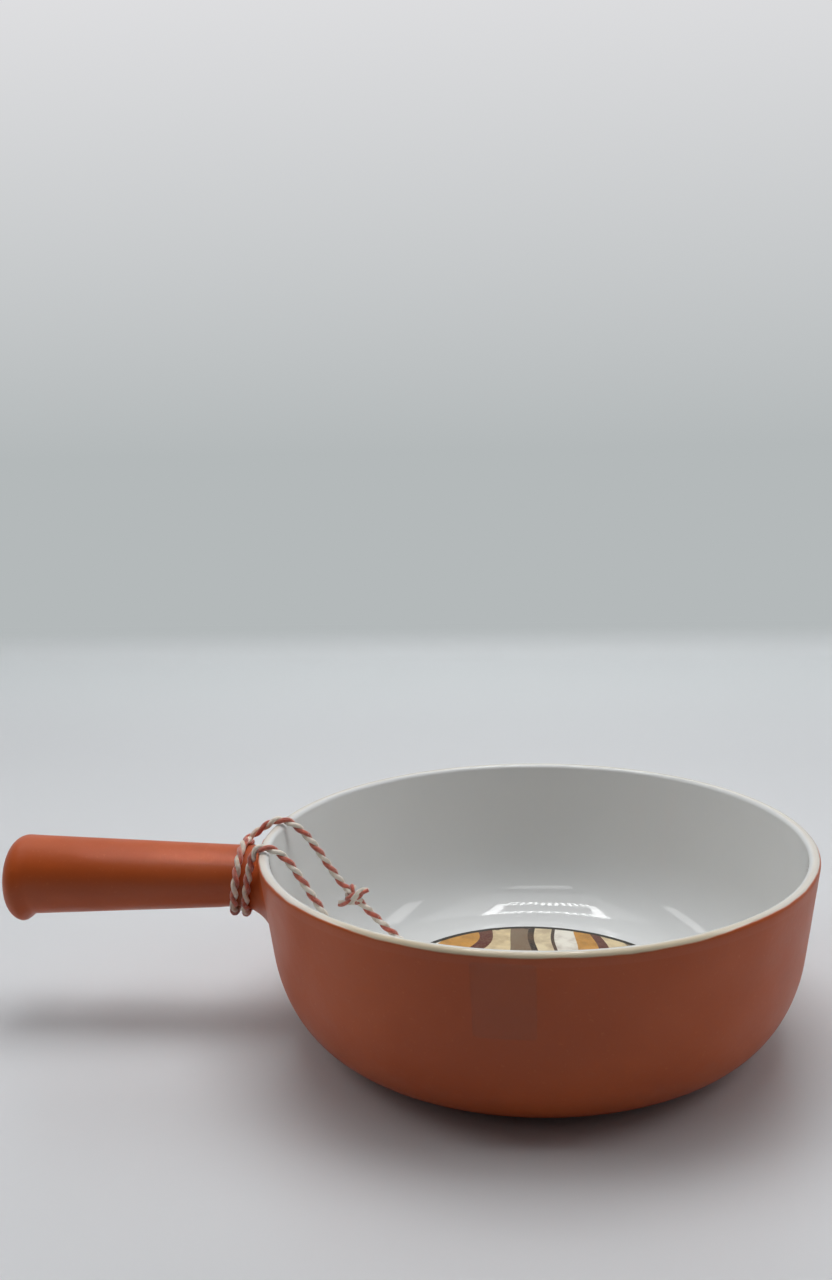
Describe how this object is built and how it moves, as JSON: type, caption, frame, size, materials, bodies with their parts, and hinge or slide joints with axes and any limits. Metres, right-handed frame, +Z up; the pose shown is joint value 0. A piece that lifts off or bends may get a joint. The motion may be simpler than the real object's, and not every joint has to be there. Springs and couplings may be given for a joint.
{
  "type": "stick-handled casserole dish",
  "caption": "Deep round stoneware casserole dish, terracotta outside and white inside, with a tapering stick handle below the rim and a round card tag tied on with striped twine.",
  "frame": {"origin": "centre of the foot ring, on the table", "axes": "+Z up, the handle points along -X, so +Y is away from the viewer of the picture"},
  "size_m": [0.2673, 0.1796, 0.065],
  "materials": {
    "clay": "glossy glaze",
    "twine": "matt",
    "card": "satin",
    "film": "glossy"
  },
  "bodies": {
    "dish": {"bowl": "clay", "handle": "clay", "twine_winding": "twine", "twine_back_strand": "twine", "twine_front_strand": "twine", "twine_knot": "twine", "wall_label": "film"},
    "tag": {"hang_tag": "card"}
  },
  "joints": [
    {"name": "tag_lift", "type": "hinge", "parent": "dish", "child": "tag", "pos_m": [-0.0415, 0.0175, 0.011], "axis": [-0.4067, -0.9135, 0], "range_deg": [0, 30]}
  ]
}
